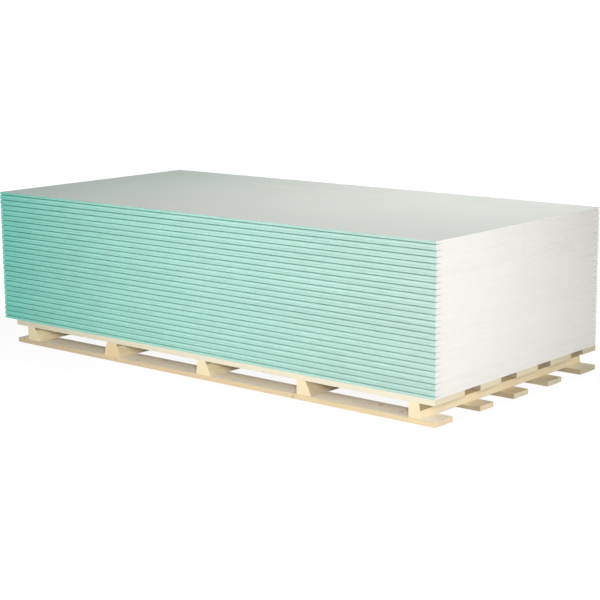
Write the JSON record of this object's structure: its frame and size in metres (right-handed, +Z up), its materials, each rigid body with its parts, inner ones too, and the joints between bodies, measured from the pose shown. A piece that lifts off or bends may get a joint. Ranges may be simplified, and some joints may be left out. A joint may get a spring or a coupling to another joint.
{
  "type": "loaded pallet of drywall sheets",
  "caption": "Stack of moisture-resistant drywall sheets with tapered paper-wrapped long edges, laid in face-to-face pairs on a three-layer wooden pallet of boards and waney bearers.",
  "frame": {"origin": "on the floor under the middle of the stack's plan, which is the bottom centre of the whole object", "axes": "+X along the sheets towards the end that is flush with the pallet, +Y across them to the back, +Z up"},
  "size_m": [2.6, 1.25, 0.737],
  "materials": {
    "face_paper": "matt pale green face paper, wrapped round the long edges",
    "back_paper": "matt light grey back paper, with a narrow fold of the green face paper along both long edges",
    "deck_timber": "fresh sawn softwood boards",
    "sawn_timber": "rough sawn softwood with waney sides"
  },
  "bodies": {
    "root": {"bearer_1": "sawn_timber", "bearer_2": "sawn_timber", "bearer_3": "sawn_timber", "bearer_4": "sawn_timber", "bearer_5": "sawn_timber", "bottom_board_1": "sawn_timber", "bottom_board_2": "sawn_timber", "bottom_board_3": "sawn_timber", "bottom_board_4": "sawn_timber", "bottom_board_5": "sawn_timber", "deck_board_1": "deck_timber", "deck_board_2": "deck_timber", "deck_board_3": "deck_timber", "deck_board_4": "deck_timber", "deck_board_5": "deck_timber", "sheet_pair_01": "face_paper", "sheet_pair_02": "face_paper", "sheet_pair_03": "face_paper", "sheet_pair_04": "face_paper", "sheet_pair_05": "face_paper", "sheet_pair_06": "face_paper", "sheet_pair_07": "face_paper", "sheet_pair_08": "face_paper", "sheet_pair_09": "face_paper", "sheet_pair_10": "face_paper", "sheet_pair_11": "face_paper", "sheet_pair_12": "face_paper", "sheet_pair_13": "face_paper", "sheet_pair_14": "face_paper", "sheet_pair_15": "face_paper", "sheet_pair_16": "face_paper", "sheet_pair_17": "face_paper", "sheet_pair_18": "face_paper", "sheet_pair_19": "face_paper", "sheet_pair_20": "face_paper", "sheet_pair_21": "face_paper", "sheet_pair_22": "face_paper", "sheet_pair_23": "face_paper", "sheet_pair_24": "face_paper", "sheet_second": "face_paper", "sheet_top": "back_paper"}
  },
  "joints": []
}
